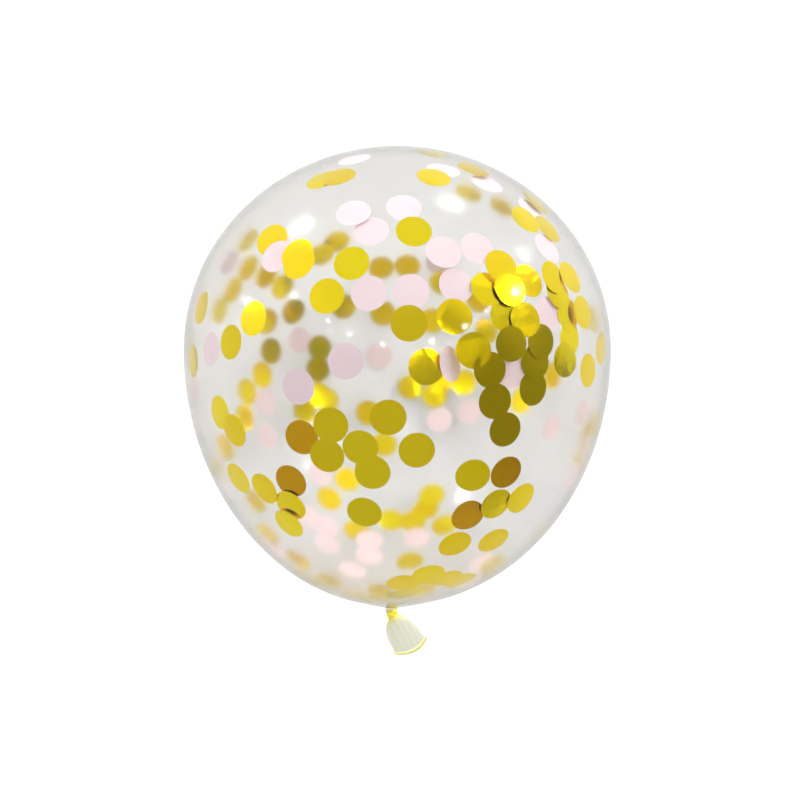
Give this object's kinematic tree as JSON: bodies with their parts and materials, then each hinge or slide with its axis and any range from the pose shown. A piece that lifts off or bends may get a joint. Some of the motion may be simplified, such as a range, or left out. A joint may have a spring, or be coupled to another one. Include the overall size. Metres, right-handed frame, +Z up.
{
  "type": "confetti balloon",
  "caption": "Clear egg-shaped latex party balloon lying on its side, with a knotted neck and short flat tail; round gold foil and pale pink tissue confetti cling inside it.",
  "frame": {"origin": "middle of the small flat on the side of the body, where the balloon rests on the floor", "axes": "+Z up from the floor, +Y along the balloon towards its crown, -Y towards the knot and tail, +X to the side that the tail leans to"},
  "size_m": [0.287, 0.3438, 0.2856],
  "materials": {
    "clear_latex": "glossy and see-through where stretched, cloudy pale yellow at the slack tail",
    "gold_foil": "mirror-bright metallised film",
    "pink_tissue": "matt tissue paper"
  },
  "bodies": {
    "root": {"balloon": "clear_latex"}
  },
  "joints": []
}
